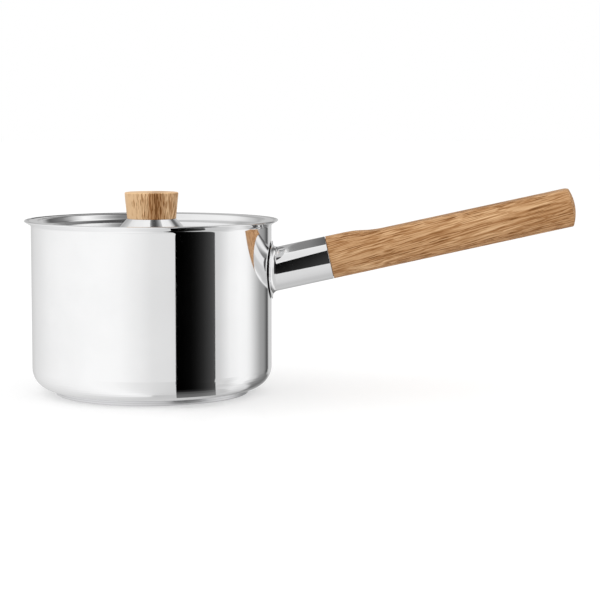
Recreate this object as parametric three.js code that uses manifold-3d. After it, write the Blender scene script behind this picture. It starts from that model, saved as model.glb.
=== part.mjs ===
// Saucepan with a lid: a drawn steel pot on a sandwich base, an oak grip held on a steel ferrule, and a
// recessed steel lid with an oak knob. Millimetres and degrees, +Z up. The origin is on the pot's axis,
// at the underside of the base, and the handle points along +X.
import * as THREE from "three";
import { mergeVertices } from "three/addons/utils/BufferGeometryUtils.js";
import Module from "manifold-3d";

const wasm = await Module();
wasm.setup();

// Fits between pieces
const FIT = 0.3; // gap left between a piece and its seat
const HOLE_PLAY = 0.25; // radial play of a bolt or screw in its hole, and of an insert in its pocket

// Pot
const POT_INNER_RADIUS = 80;
const POT_WALL = 1;
const POT_HEIGHT = 117.5; // from the table to the top of the lip
const POT_CORNER_RADIUS = 14.5; // outside of the bend from floor to wall
const LIP_ANGLE = 30; // slope of the pouring lip above the horizontal
const LIP_BEND_RADIUS = 2.5; // hollow under the lip
const LIP_LENGTH = 5.4; // from the corner under the lip to its edge, along the slope
const LIP_EDGE_ROUND = 0.45;

// Sandwich base
const BASE_INSET = 15.5; // from the outside of the wall in to the edge of the base
const BASE_CORE_THICKNESS = 2.8;
const BASE_SKIN = 0.7;
const BASE_EDGE_ROUND = 1;

// Handle: foot plate, ferrule and grip
const HANDLE_TILT = 12.3; // rise of the handle above the horizontal
const HANDLE_BELOW_RIM = 34.5; // from the top of the lip down to the handle's axis at the wall
const FOOT_PLATE = 0.7;
const FOOT_FLANGE = 4.5; // width of the flat plate outside the collar
const FOOT_FILLET = 3.2;
const FOOT_EDGE_ROUND = 0.3;
const FOOT_RISE = 4; // from the wall to the top of the collar
const FOOT_BORE = 10; // radius of the opening behind the foot
const COLLAR_STEP = 0.2; // the collar stands this much proud of the ferrule
const SPIGOT_REACH = 7; // how far the foot's spigot goes into the ferrule
const FERRULE_RADIUS = 14.6;
const FERRULE_WALL = 1.2;
const FERRULE_LENGTH = 40; // from the wall to the ferrule's mouth, along the axis
const GRIP_LENGTH = 169.2;
const GRIP_DOME = 3.8; // the grip's end bulges this far beyond its rim
const GRIP_END_ROUND = 0.8;
const GRIP_FLAT_DEPTH = 3.1; // the thumb flat is planed this deep into the round grip at its run-in
const GRIP_FLAT_END_DEPTH = 3.3; // and this deep at the grip's end
const GRIP_FLAT_START = 9; // from the ferrule's mouth to where the plane bites in
const GRIP_FLAT_RUN = 32; // length of the hollow run-in to full depth
const TENON_ROOM = 3; // free length between the nut and the grip's tenon
const TENON_CHAMFER = 1;

// Handle bolt with its nut, lock washer and insert
const BOLT_RADIUS = 3;
const BOLT_HEAD_LIP = 4; // the head's radius beyond the shank
const BOLT_HEAD_HEIGHT = 2.2;
const BOLT_REACH = 26; // how far the bolt goes into the grip
const BOLT_BORE_SPARE = 4;
const NUT_WALL = 2; // across the flats, beyond the bolt on each side
const NUT_HEIGHT = 5;
const NUT_CHAMFER = 0.7;

// Lock washers and barbed inserts, sized from the bolt or screw that they go with
const WASHER_RING = 2.6; // width of a washer's ring beyond its shank
const LOCK_WASHER_THICKNESS = 1.4;
const LOCK_WASHER_GAP = 24; // degrees cut out of the ring
const INSERT_WALL = 1.5;
const INSERT_BARB = 0.4;
const INSERT_BARBS = 4;
const GRIP_INSERT_LENGTH = 15;
const KNOB_INSERT_LENGTH = 10;

// Lid
const LID_SHEET = 0.8;
const LID_OVERLAP = 2.4; // the flange lies this far out over the pot's flared lip
const LID_SHOULDER_INSET = 3.5; // from the pot's inside wall to the edge of the recess
const LID_RECESS_DEPTH = 5.1;
const LID_RECESS_RUN = 2.5; // horizontal run of the recess wall
const LID_SHOULDER_ROUND = 1.4;
const LID_CORNER_ROUND = 1;

// Knob, its collar and what holds them
const KNOB_FOOT_RADIUS = 16.5;
const KNOB_TOP_RADIUS = 18.3;
const KNOB_HEIGHT = 17.8;
const KNOB_EDGE_ROUND = 0.7;
const COLLAR_HEIGHT = 6;
const COLLAR_SPREAD = 5.1; // the collar's foot stands this far out beyond its top
const COLLAR_LAND = 0.5; // upright edge at the collar's foot
const GASKET_THICKNESS = 0.8;
const GASKET_RING = 6; // width of the gasket beyond the screw
const GASKET_SQUEEZE = 0.2; // the gasket's recess is this much roomier than the gasket
const SCREW_RADIUS = 2.5;
const SCREW_HEAD_LIP = 2.1;
const SCREW_HEAD_HEIGHT = 3;
const SCREW_HEAD_ROUND = 1;
const SCREW_SOCKET_RADIUS = 1.7; // hexagon socket, to its corners
const SCREW_SOCKET_DEPTH = 1.6;
const SCREW_SPARE = 1; // the screw stops this far short of the insert's end
const FLAT_WASHER_RING = 3.4;
const FLAT_WASHER_THICKNESS = 1;

// Fineness of the facets
const POT_FACETS = 60;
const HANDLE_FACETS = 36;
const FASTENER_FACETS = 20;
const GRIP_DOME_RINGS = 5;
const FLAT_CURVE_STEPS = 7; // steps along the thumb flat's run-in
const FOOT_BACK_RINGS = 4; // rings across the back of the foot, which follows the wall
const ARC_TOLERANCE = 0.12; // how far an arc's facets may cut its corner
const WELD = 1e-4; // vertices closer than this are one

const radians = THREE.MathUtils.degToRad;
const point = (x, y) => new THREE.Vector2(x, y);

// Finishes, from the photograph
const finish = (color, roughness, metalness) =>
  new THREE.MeshStandardMaterial({ color, roughness, metalness });
const polishedSteel = () => finish(0xd8d9da, 0.08, 1);
const satinSteel = () => finish(0xbfc0c1, 0.35, 1);
const fastenerSteel = () => finish(0xa9abad, 0.4, 1);
const aluminium = () => finish(0xc6c8ca, 0.5, 1);
const brass = () => finish(0xb79a56, 0.35, 1);
const oak = () => finish(0xb4875f, 0.6, 0);
const silicone = () => finish(0x3a3b3c, 0.8, 0);

// The arc that rounds a corner between two neighbours, as points from one edge to the other
function roundedCorner(before, corner, after, radius) {
  const toBefore = before.clone().sub(corner).normalize();
  const toAfter = after.clone().sub(corner).normalize();
  const half = Math.acos(THREE.MathUtils.clamp(toBefore.dot(toAfter), -1, 1)) / 2;
  const middle = toBefore.clone().add(toAfter).normalize();
  const centre = corner.clone().addScaledVector(middle, radius / Math.sin(half));
  const start = corner.clone().addScaledVector(toBefore, radius / Math.tan(half)).sub(centre);
  const turn = (Math.PI - 2 * half) * Math.sign(toAfter.cross(toBefore));
  const coarsest = 2 * Math.acos(1 - Math.min(ARC_TOLERANCE / radius, 1));
  const steps = Math.ceil(Math.abs(turn) / coarsest);
  return Array.from({ length: steps + 1 }, (_, step) =>
    start.clone().rotateAround(point(0, 0), (turn * step) / steps).add(centre),
  );
}

// Points of an outline given as corners [x, y, rounding]
function outline(corners) {
  const places = corners.map(([x, y]) => point(x, y));
  const count = corners.length;
  return corners.flatMap(([, , radius = 0], i) =>
    radius > 0
      ? roundedCorner(places[(i + count - 1) % count], places[i], places[(i + 1) % count], radius)
      : [places[i]],
  );
}

// Corners of a bent sheet: the given face, then the face one thickness to its left, walked back.
// A rounding is that of the given face, and the other face's follows from the thickness.
function bentSheet(face, thickness, edgeRound = 0) {
  const places = face.map(([x, y]) => point(x, y));
  const headings = places.slice(1).map((place, i) => place.clone().sub(places[i]).normalize());
  const last = places.length - 1;
  const back = face.map(([x, y, radius = 0], i) => {
    const heading = headings[Math.max(i - 1, 0)];
    const next = headings[Math.min(i, last - 1)];
    const shift = thickness / (1 + heading.dot(next));
    const side = Math.sign(heading.cross(next));
    return [
      x - (heading.y + next.y) * shift,
      y + (heading.x + next.x) * shift,
      radius > 0 ? radius - side * thickness : 0,
    ];
  });
  const front = face.map((corner) => [...corner]);
  front[last][2] = edgeRound;
  back[last][2] = edgeRound;
  return [...front, ...back.reverse()];
}

// A turned piece about Z from corners [radius, height, rounding], walked anticlockwise. It closes on
// itself, unless it starts and ends on the axis.
function turned(corners, facets) {
  const points = outline(corners);
  const onAxis = points[0].x === 0 && points[points.length - 1].x === 0;
  const closed = onAxis ? points : [...points, points[0].clone()];
  return new THREE.LatheGeometry(closed, facets).rotateX(Math.PI / 2);
}

// The same about X, from corners [radius, distance along X, rounding]
const turnedAlongX = (corners, facets) => turned(corners, facets).rotateY(Math.PI / 2);

function solidOf(geometry) {
  const bare = new THREE.BufferGeometry();
  bare.setAttribute("position", geometry.getAttribute("position"));
  bare.setIndex(geometry.getIndex());
  const welded = mergeVertices(bare, WELD);
  const vertProperties = new Float32Array(welded.getAttribute("position").array);
  const triVerts = new Uint32Array(welded.getIndex().array);
  return new wasm.Manifold(new wasm.Mesh({ numProp: 3, vertProperties, triVerts }));
}

function geometryOf(solid) {
  const mesh = solid.getMesh();
  const geometry = new THREE.BufferGeometry();
  geometry.setAttribute("position", new THREE.BufferAttribute(mesh.vertProperties, mesh.numProp));
  geometry.setIndex(new THREE.BufferAttribute(mesh.triVerts, 1));
  geometry.computeVertexNormals();
  return geometry;
}

function cut(body, ...tools) {
  return geometryOf(tools.reduce((solid, tool) => solid.subtract(solidOf(tool)), solidOf(body)));
}

const join = (first, second) => geometryOf(solidOf(first).add(solidOf(second)));
const overlapOf = (first, second) => geometryOf(solidOf(first).intersect(solidOf(second)));

function addPiece(group, name, geometry, material) {
  const mesh = new THREE.Mesh(geometry, material);
  mesh.name = name;
  group.add(mesh);
}

// Sizes that follow from the driving ones
const potOuterRadius = POT_INNER_RADIUS + POT_WALL;
const potUnderside = BASE_SKIN + BASE_CORE_THICKNESS;
const lipSlope = radians(LIP_ANGLE);
const lipTurn = Math.PI / 2 - lipSlope;
const lipCorner =
  POT_HEIGHT - LIP_LENGTH * Math.sin(lipSlope) - POT_WALL * Math.cos(lipSlope);
const baseRadius = potOuterRadius - BASE_INSET;

// Height of the pot's underside at a radius: flat, then up the bend to the wall
function undersideAt(radius) {
  const intoBend = Math.max(radius - (potOuterRadius - POT_CORNER_RADIUS), 0);
  return potUnderside + POT_CORNER_RADIUS - Math.sqrt(POT_CORNER_RADIUS ** 2 - intoBend ** 2);
}

// Height of the inside of the pouring lip at a radius: up the bend, then along the slope
function lipInsideAt(radius) {
  const bend = LIP_BEND_RADIUS + POT_WALL;
  const bendStart = lipCorner - LIP_BEND_RADIUS * Math.tan(lipTurn / 2);
  const intoBend = radius - POT_INNER_RADIUS;
  const bendEnd = bend * (1 - Math.cos(lipTurn));
  const along = Math.min(intoBend, bendEnd);
  const onBend = Math.sqrt(bend ** 2 - (bend - along) ** 2);
  return bendStart + onBend + (intoBend - along) * Math.tan(lipSlope);
}

// Pot: floor, wall and pouring lip drawn from one sheet
function potShell() {
  const outside = [
    [0, potUnderside],
    [potOuterRadius, potUnderside, POT_CORNER_RADIUS],
    [potOuterRadius, lipCorner, LIP_BEND_RADIUS],
    [
      potOuterRadius + LIP_LENGTH * Math.cos(lipSlope),
      lipCorner + LIP_LENGTH * Math.sin(lipSlope),
    ],
  ];
  return turned(bentSheet(outside, POT_WALL, LIP_EDGE_ROUND), POT_FACETS);
}

// Heat-spreading disc under the pot's floor
function baseCore() {
  const edge = baseRadius - BASE_SKIN - FIT;
  const corners = [
    [0, BASE_SKIN],
    [edge, BASE_SKIN, BASE_EDGE_ROUND],
    [edge, potUnderside],
    [0, potUnderside],
  ];
  return turned(corners, POT_FACETS);
}

// Steel tray that wraps the disc and closes up against the pot
function baseTray() {
  const rim = undersideAt(baseRadius - BASE_SKIN);
  const outside = [
    [0, 0],
    [baseRadius, 0, BASE_EDGE_ROUND],
    [baseRadius, rim],
  ];
  return turned(bentSheet(outside, BASE_SKIN), POT_FACETS);
}

// The handle's own frame: X along its axis, starting where the axis meets the outside of the wall
const tilt = radians(HANDLE_TILT);
const handleHeight = POT_HEIGHT - HANDLE_BELOW_RIM;
const handle = new THREE.Group();
handle.position.set(potOuterRadius, 0, handleHeight);
handle.rotation.y = -tilt;
handle.updateMatrix();
const ferruleBore = FERRULE_RADIUS - FERRULE_WALL;
const spigotRadius = ferruleBore - FIT;
const spigotEnd = FOOT_RISE + SPIGOT_REACH;
const boltHeadRadius = BOLT_RADIUS + BOLT_HEAD_LIP;
const boltHeadStart = (boltHeadRadius * Math.sin(tilt) + FIT) / Math.cos(tilt);
const boltSeat = boltHeadStart + BOLT_HEAD_HEIGHT;
const washerStart = spigotEnd + FIT;
const nutStart = washerStart + LOCK_WASHER_THICKNESS + FIT;
const tenonStart = nutStart + NUT_HEIGHT + TENON_ROOM;
const gripStart = FERRULE_LENGTH + FIT;
const gripEnd = gripStart + GRIP_LENGTH;
const boltEnd = tenonStart + BOLT_REACH;

// A round bar along X in the handle's frame
function bar(radius, start, end, facets) {
  const corners = [
    [0, start],
    [radius, start],
    [radius, end],
    [0, end],
  ];
  return turnedAlongX(corners, facets);
}

// A round block about the pot's axis, taller than the handle's foot
function potBlock(radius) {
  const corners = [
    [0, 0],
    [radius, 0],
    [radius, POT_HEIGHT],
    [0, POT_HEIGHT],
  ];
  return turned(corners, POT_FACETS);
}

// Bends a plate turned about X round the pot's wall, and leans it along the handle's tilt
function saddled(geometry) {
  const places = geometry.getAttribute("position");
  for (let i = 0; i < places.count; i += 1) {
    const lift = FIT + places.getX(i);
    const across = places.getY(i);
    places.setX(i, Math.sqrt((potOuterRadius + lift) ** 2 - across ** 2));
    places.setZ(i, handleHeight + places.getZ(i) + lift * Math.tan(tilt));
  }
  return geometry;
}

// Foot: a plate curved to the wall with a filleted collar, and a spigot that goes into the ferrule
function handleFoot() {
  const collar = FERRULE_RADIUS / Math.cos(tilt) + COLLAR_STEP;
  const edge = collar + FOOT_FLANGE;
  const back = Array.from({ length: FOOT_BACK_RINGS }, (_, i) => [
    FOOT_BORE + ((edge - FOOT_BORE) * i) / FOOT_BACK_RINGS,
    0,
  ]);
  const corners = [
    ...back,
    [edge, 0],
    [edge, FOOT_PLATE, FOOT_EDGE_ROUND],
    [collar, FOOT_PLATE, FOOT_FILLET],
    [collar, FOOT_RISE],
    [FOOT_BORE, FOOT_RISE],
  ];
  const plate = saddled(turnedAlongX(corners, HANDLE_FACETS));
  const toPot = handle.matrix;
  const spigot = cut(
    bar(spigotRadius, 0, spigotEnd, HANDLE_FACETS).applyMatrix4(toPot),
    potBlock(potOuterRadius + FIT + FOOT_PLATE),
  );
  const recess = bar(boltHeadRadius + FIT, -FOOT_BORE, boltSeat + FIT, FASTENER_FACETS);
  const hole = bar(BOLT_RADIUS + HOLE_PLAY, 0, spigotEnd + FIT, FASTENER_FACETS);
  return cut(join(plate, spigot), recess.applyMatrix4(toPot), hole.applyMatrix4(toPot));
}

// Ferrule: a steel tube whose inner end is cut to the curve of the foot's collar
function handleFerrule() {
  const corners = [
    [ferruleBore, 0],
    [FERRULE_RADIUS, 0],
    [FERRULE_RADIUS, FERRULE_LENGTH],
    [ferruleBore, FERRULE_LENGTH],
  ];
  const toHandle = handle.matrix.clone().invert();
  const collarTop = potBlock(potOuterRadius + FOOT_RISE + 2 * FIT).applyMatrix4(toHandle);
  return cut(turnedAlongX(corners, HANDLE_FACETS), collarTop);
}

// Wood planed off the top of the round grip: a hollow run-in, then a flat to the end
function thumbFlatWaste() {
  const above = FERRULE_RADIUS + FIT;
  const flat = FERRULE_RADIUS - GRIP_FLAT_DEPTH;
  const start = gripStart + GRIP_FLAT_START;
  const end = start + GRIP_FLAT_RUN;
  const beyond = gripEnd + FERRULE_RADIUS;
  const fall = (GRIP_FLAT_END_DEPTH - GRIP_FLAT_DEPTH) / (gripEnd - end);
  const side = new THREE.Shape();
  side.moveTo(start, above);
  side.bezierCurveTo(start + GRIP_FLAT_RUN / 2, above, start + GRIP_FLAT_RUN / 2, flat, end, flat);
  side.lineTo(beyond, flat - fall * (beyond - end));
  side.lineTo(beyond, above);
  const width = 4 * FERRULE_RADIUS;
  const waste = new THREE.ExtrudeGeometry(side, {
    depth: width,
    bevelEnabled: false,
    curveSegments: FLAT_CURVE_STEPS,
  });
  return waste.rotateX(Math.PI / 2).translate(0, width / 2, 0);
}

// Rings of the grip's domed end, part of a sphere, from the rim in to the axis
function domedEnd() {
  const sphere = (FERRULE_RADIUS ** 2 + GRIP_DOME ** 2) / (2 * GRIP_DOME);
  return Array.from({ length: GRIP_DOME_RINGS }, (_, i) => {
    const radius = FERRULE_RADIUS * (1 - (i + 1) / GRIP_DOME_RINGS);
    return [radius, gripEnd - sphere + Math.sqrt(sphere ** 2 - radius ** 2)];
  });
}

// Grip: oak, with a tenon in the ferrule, a blind bore for the bolt and a pocket for the insert
function handleGrip() {
  const bore = BOLT_RADIUS + HOLE_PLAY;
  const pocket = BOLT_RADIUS + INSERT_WALL + INSERT_BARB + HOLE_PLAY;
  const tenon = ferruleBore - FIT;
  const corners = [
    [0, boltEnd + BOLT_BORE_SPARE],
    [bore, boltEnd + BOLT_BORE_SPARE],
    [bore, tenonStart + GRIP_INSERT_LENGTH + FIT],
    [pocket, tenonStart + GRIP_INSERT_LENGTH + FIT],
    [pocket, tenonStart],
    [tenon - TENON_CHAMFER, tenonStart],
    [tenon, tenonStart + TENON_CHAMFER],
    [tenon, gripStart],
    [FERRULE_RADIUS, gripStart],
    [FERRULE_RADIUS, gripEnd - GRIP_DOME, GRIP_END_ROUND],
    ...domedEnd(),
  ];
  return cut(turnedAlongX(corners, HANDLE_FACETS), thumbFlatWaste());
}

// Bolt with a low round head: its thread is a plain shank
function handleBolt() {
  const corners = [
    [0, boltHeadStart],
    [boltHeadRadius, boltHeadStart],
    [boltHeadRadius, boltSeat],
    [BOLT_RADIUS, boltSeat],
    [BOLT_RADIUS, boltEnd],
    [0, boltEnd],
  ];
  return turnedAlongX(corners, FASTENER_FACETS);
}

// Hexagon nut with the corners of both faces turned off
function boltNut() {
  const flats = BOLT_RADIUS + NUT_WALL;
  const corner = flats / Math.cos(Math.PI / 6);
  const hexagon = new THREE.CylinderGeometry(corner, corner, NUT_HEIGHT, 6)
    .rotateZ(-Math.PI / 2)
    .translate(nutStart + NUT_HEIGHT / 2, 0, 0);
  const round = [
    [0, nutStart],
    [flats, nutStart],
    [corner, nutStart + NUT_CHAMFER],
    [corner, nutStart + NUT_HEIGHT - NUT_CHAMFER],
    [flats, nutStart + NUT_HEIGHT],
    [0, nutStart + NUT_HEIGHT],
  ];
  const blank = overlapOf(hexagon, turnedAlongX(round, FASTENER_FACETS));
  const through = bar(BOLT_RADIUS + HOLE_PLAY, spigotEnd, tenonStart, FASTENER_FACETS);
  return cut(blank, through);
}

// Split ring that lies on the plane Z = 0 and rises by its thickness
function lockWasher(shank) {
  const inner = shank + HOLE_PLAY;
  const outer = shank + WASHER_RING;
  const opening = radians(LOCK_WASHER_GAP) / 2;
  const ring = new THREE.Shape();
  ring.absarc(0, 0, outer, opening, 2 * Math.PI - opening, false);
  ring.absarc(0, 0, inner, 2 * Math.PI - opening, opening, true);
  return new THREE.ExtrudeGeometry(ring, {
    depth: LOCK_WASHER_THICKNESS,
    bevelEnabled: false,
    curveSegments: FASTENER_FACETS,
  });
}

// Barbed sleeve about Z, from its entry at height 0 up to its length
function barbedInsert(shank, length) {
  const inner = shank + HOLE_PLAY;
  const outer = shank + INSERT_WALL;
  const pitch = length / INSERT_BARBS;
  const barbs = Array.from({ length: INSERT_BARBS }, (_, i) => [
    [outer + INSERT_BARB, pitch * i],
    [outer, pitch * (i + 1)],
  ]);
  return turned([[inner, 0], ...barbs.flat(), [inner, length]], FASTENER_FACETS);
}

// Heights on the lid, from the flared lip that it lies on up to the knob
const lidFlangeRadius = POT_INNER_RADIUS + LID_OVERLAP;
const lidTop = lipInsideAt(lidFlangeRadius) + FIT / Math.cos(lipSlope) + LID_SHEET;
const lidFloor = lidTop - LID_RECESS_DEPTH;
const lidUnderside = lidFloor - LID_SHEET;
const knobFoot = lidFloor + COLLAR_HEIGHT;
const screwHole = SCREW_RADIUS + HOLE_PLAY;
const lockWasherFoot = lidUnderside - FLAT_WASHER_THICKNESS - LOCK_WASHER_THICKNESS;

// Lid: a flange on the pot's lip, a steep recess wall and a flat floor, pressed from one sheet
function lidPlate() {
  const shoulder = POT_INNER_RADIUS - LID_SHOULDER_INSET;
  const topFace = [
    [lidFlangeRadius, lidTop],
    [shoulder, lidTop, LID_SHOULDER_ROUND],
    [shoulder - LID_RECESS_RUN, lidFloor, LID_CORNER_ROUND],
    [screwHole, lidFloor],
  ];
  return turned(bentSheet(topFace, LID_SHEET), POT_FACETS);
}

// Cone that carries the knob, with a recess below for the gasket
function knobCollar() {
  const gasketRoom = SCREW_RADIUS + GASKET_RING + HOLE_PLAY;
  const recessTop = lidFloor + GASKET_THICKNESS + GASKET_SQUEEZE;
  const foot = KNOB_FOOT_RADIUS + COLLAR_SPREAD;
  const corners = [
    [screwHole, recessTop],
    [gasketRoom, recessTop],
    [gasketRoom, lidFloor],
    [foot, lidFloor],
    [foot, lidFloor + COLLAR_LAND],
    [KNOB_FOOT_RADIUS, knobFoot],
    [screwHole, knobFoot],
  ];
  return turned(corners, HANDLE_FACETS);
}

// Soft ring that seals the screw hole
function collarGasket() {
  const edge = SCREW_RADIUS + GASKET_RING;
  const corners = [
    [screwHole, lidFloor],
    [edge, lidFloor],
    [edge, lidFloor + GASKET_THICKNESS],
    [screwHole, lidFloor + GASKET_THICKNESS],
  ];
  return turned(corners, FASTENER_FACETS);
}

// Knob: oak, wider at the top, with a blind pocket for the insert
function lidKnob() {
  const pocket = SCREW_RADIUS + INSERT_WALL + INSERT_BARB + HOLE_PLAY;
  const pocketEnd = knobFoot + KNOB_INSERT_LENGTH + FIT;
  const top = knobFoot + KNOB_HEIGHT;
  const corners = [
    [0, pocketEnd],
    [pocket, pocketEnd],
    [pocket, knobFoot],
    [KNOB_FOOT_RADIUS, knobFoot],
    [KNOB_TOP_RADIUS, top, KNOB_EDGE_ROUND],
    [0, top],
  ];
  return turned(corners, HANDLE_FACETS);
}

// Screw from below, with a hexagon socket: its thread is a plain shank
function knobScrew() {
  const headRadius = SCREW_RADIUS + SCREW_HEAD_LIP;
  const headFoot = lockWasherFoot - SCREW_HEAD_HEIGHT;
  const tip = knobFoot + KNOB_INSERT_LENGTH - SCREW_SPARE;
  const corners = [
    [0, headFoot],
    [headRadius, headFoot, SCREW_HEAD_ROUND],
    [headRadius, lockWasherFoot],
    [SCREW_RADIUS, lockWasherFoot],
    [SCREW_RADIUS, tip],
    [0, tip],
  ];
  const socketHeight = 2 * SCREW_SOCKET_DEPTH;
  const socket = new THREE.CylinderGeometry(SCREW_SOCKET_RADIUS, SCREW_SOCKET_RADIUS, socketHeight, 6)
    .rotateX(Math.PI / 2)
    .translate(0, 0, headFoot);
  return cut(turned(corners, FASTENER_FACETS), socket);
}

function flatWasher() {
  const edge = SCREW_RADIUS + FLAT_WASHER_RING;
  const foot = lidUnderside - FLAT_WASHER_THICKNESS;
  const corners = [
    [screwHole, foot],
    [edge, foot],
    [edge, lidUnderside],
    [screwHole, lidUnderside],
  ];
  return turned(corners, FASTENER_FACETS);
}

// Assembly
const pot = new THREE.Group();
addPiece(pot, "pot_shell", potShell(), polishedSteel());
addPiece(pot, "base_core", baseCore(), aluminium());
addPiece(pot, "base_tray", baseTray(), satinSteel());
addPiece(pot, "handle_foot", handleFoot(), polishedSteel());

addPiece(handle, "handle_ferrule", handleFerrule(), polishedSteel());
addPiece(handle, "handle_grip", handleGrip(), oak());
addPiece(handle, "handle_bolt", handleBolt(), fastenerSteel());
addPiece(handle, "bolt_nut", boltNut(), fastenerSteel());
const boltLockWasher = lockWasher(BOLT_RADIUS).rotateY(Math.PI / 2).translate(washerStart, 0, 0);
addPiece(handle, "bolt_lock_washer", boltLockWasher, fastenerSteel());
const gripInsert = barbedInsert(BOLT_RADIUS, GRIP_INSERT_LENGTH);
addPiece(handle, "grip_insert", gripInsert.rotateY(Math.PI / 2).translate(tenonStart, 0, 0), brass());

const lid = new THREE.Group();
addPiece(lid, "lid_plate", lidPlate(), polishedSteel());
addPiece(lid, "knob_collar", knobCollar(), polishedSteel());
addPiece(lid, "collar_gasket", collarGasket(), silicone());
addPiece(lid, "lid_knob", lidKnob(), oak());
const knobInsert = barbedInsert(SCREW_RADIUS, KNOB_INSERT_LENGTH).translate(0, 0, knobFoot);
addPiece(lid, "knob_insert", knobInsert, brass());
addPiece(lid, "knob_screw", knobScrew(), fastenerSteel());
addPiece(lid, "screw_washer", flatWasher(), fastenerSteel());
const screwLockWasher = lockWasher(SCREW_RADIUS).translate(0, 0, lockWasherFoot);
addPiece(lid, "screw_lock_washer", screwLockWasher, fastenerSteel());

const saucepan = new THREE.Group();
saucepan.add(pot, handle, lid);

export default saucepan;
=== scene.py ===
# %% [markdown]
# # A saucepan with an oak handle
#
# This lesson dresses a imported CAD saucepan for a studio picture. The CAD model fixes every size and place:
# here each visible piece is made again as a fine, smooth surface in the same frame, and gets a finish.
# Lengths are written in millimetres, as on a workshop drawing, and turned into metres when a mesh is made.

import bmesh
import bpy
import mathutils
import numpy as np
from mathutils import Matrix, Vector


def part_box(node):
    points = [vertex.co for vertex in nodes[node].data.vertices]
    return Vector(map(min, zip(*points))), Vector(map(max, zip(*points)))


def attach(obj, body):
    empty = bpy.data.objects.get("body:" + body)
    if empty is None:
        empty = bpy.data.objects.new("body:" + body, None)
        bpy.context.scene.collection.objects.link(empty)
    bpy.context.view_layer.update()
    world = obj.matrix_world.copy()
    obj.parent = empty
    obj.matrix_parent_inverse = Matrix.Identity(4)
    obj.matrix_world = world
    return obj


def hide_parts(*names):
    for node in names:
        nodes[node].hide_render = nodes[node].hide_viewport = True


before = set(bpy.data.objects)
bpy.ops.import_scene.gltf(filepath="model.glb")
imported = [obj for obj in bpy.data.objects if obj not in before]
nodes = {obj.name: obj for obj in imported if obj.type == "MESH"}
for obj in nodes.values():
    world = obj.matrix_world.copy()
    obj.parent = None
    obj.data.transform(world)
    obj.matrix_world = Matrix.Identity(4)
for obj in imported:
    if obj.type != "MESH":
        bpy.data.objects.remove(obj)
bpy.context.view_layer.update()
MM = 0.001


def node_reach(node):
    """Lowest and highest corner of a CAD node in millimetres, as two arrays."""
    low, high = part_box(node)
    return np.array(low) / MM, np.array(high) / MM


# %% [markdown]
# ## Camera
#
# The picture is a product shot from a little above the rim, taken from far away with a long lens, so the pan
# hardly narrows with distance. The camera stands in front of the pan, looks straight along +Y and tips down
# a few degrees. A small vertical shift puts the pan a little below the middle of the square frame.

# %% Camera
CAMERA_PLACE = (100.3, -1282.8, 194.4)
CAMERA_DIP = 4.81  # degrees
LENS = 114.0
SENSOR_WIDTH = 36.0
FRAME_SHIFT = -0.05867
SIGHT_LIMIT = 50.0  # metres

camera_data = bpy.data.cameras.new("studio_camera")
camera_data.lens = LENS
camera_data.sensor_width = SENSOR_WIDTH
camera_data.shift_y = FRAME_SHIFT
camera_data.clip_end = SIGHT_LIMIT
camera = bpy.data.objects.new("studio_camera", camera_data)
camera.location = np.array(CAMERA_PLACE) * MM
camera.rotation_euler = (np.radians(90.0 - CAMERA_DIP), 0.0, 0.0)
bpy.context.scene.collection.objects.link(camera)
bpy.context.scene.camera = camera
print("camera at", CAMERA_PLACE, "mm, lens", LENS, "mm")

# %% [markdown]
# ## From a grid of points to a piece
#
# Nearly every part of a pan is spun, drawn or turned, so its surface is a sheet of points with two running
# numbers: a place along a profile and an angle round an axis. One helper turns any such grid into a mesh:
# it joins neighbouring points with quads, closes the directions that run back into themselves, welds the
# points that meet at a pole, and makes the faces look outwards. Bending that is sharper than a set angle
# stays a crisp edge, and everything else is shaded smooth.

# %% Grid to mesh
WELD = 1e-6
CRISP_ANGLE = 32.0  # degrees


def add_object(name, points, faces):
    """Object in the scene from points in millimetres and faces given as lists of point numbers."""
    mesh = bpy.data.meshes.new(name)
    mesh.from_pydata((np.array(points, float).reshape(-1, 3) * MM).tolist(), [], faces)
    thing = bpy.data.objects.new(name, mesh)
    bpy.context.scene.collection.objects.link(thing)
    return thing


def add_mark(mesh, name, values):
    """One number per point, kept on the mesh as an attribute."""
    layer = mesh.attributes.new(name, "FLOAT", "POINT")
    layer.data.foreach_set("value", np.array(values, np.float32))


def grid_quads(rows, columns, wrap_rows=False, wrap_columns=False):
    """Point numbers of a grid's quads: quad (i, j) joins (i, j), (i, j+1), (i+1, j+1) and (i+1, j)."""
    i = np.arange(rows if wrap_rows else rows - 1)[:, None]
    j = np.arange(columns if wrap_columns else columns - 1)[None, :]
    below, beside = (i + 1) % rows, (j + 1) % columns
    corners = (i * columns + j, i * columns + beside, below * columns + beside, below * columns + j)
    return np.stack(np.broadcast_arrays(*corners), axis=-1)


def grid_piece(name, points, wrap_rows=False, **marks):
    """Piece from points (rows, columns, 3) in millimetres.

    Columns always wrap round, rows only where asked. Each mark is one number per row, kept on the points
    as an attribute of that name.
    """
    rows, columns = points.shape[:2]
    quads = grid_quads(rows, columns, wrap_rows, wrap_columns=True).reshape(-1, 4)
    piece = add_object(name, points, quads.tolist())
    mesh = piece.data
    for mark, values in marks.items():
        add_mark(mesh, mark, np.repeat(values, columns))
    shell = bmesh.new()
    shell.from_mesh(mesh)
    bmesh.ops.remove_doubles(shell, verts=shell.verts, dist=WELD)
    bmesh.ops.recalc_face_normals(shell, faces=shell.faces)
    shell.to_mesh(mesh)
    shell.free()
    mesh.shade_smooth()
    mesh.set_sharp_from_angle(angle=np.radians(CRISP_ANGLE))
    print(f"{name}: {len(mesh.vertices)} points, {len(mesh.polygons)} faces")
    return piece


def stands_for(piece, node, body):
    """Lets a piece ride on a body in place of a CAD node, which it hides."""
    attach(piece, body)
    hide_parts(node)


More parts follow.
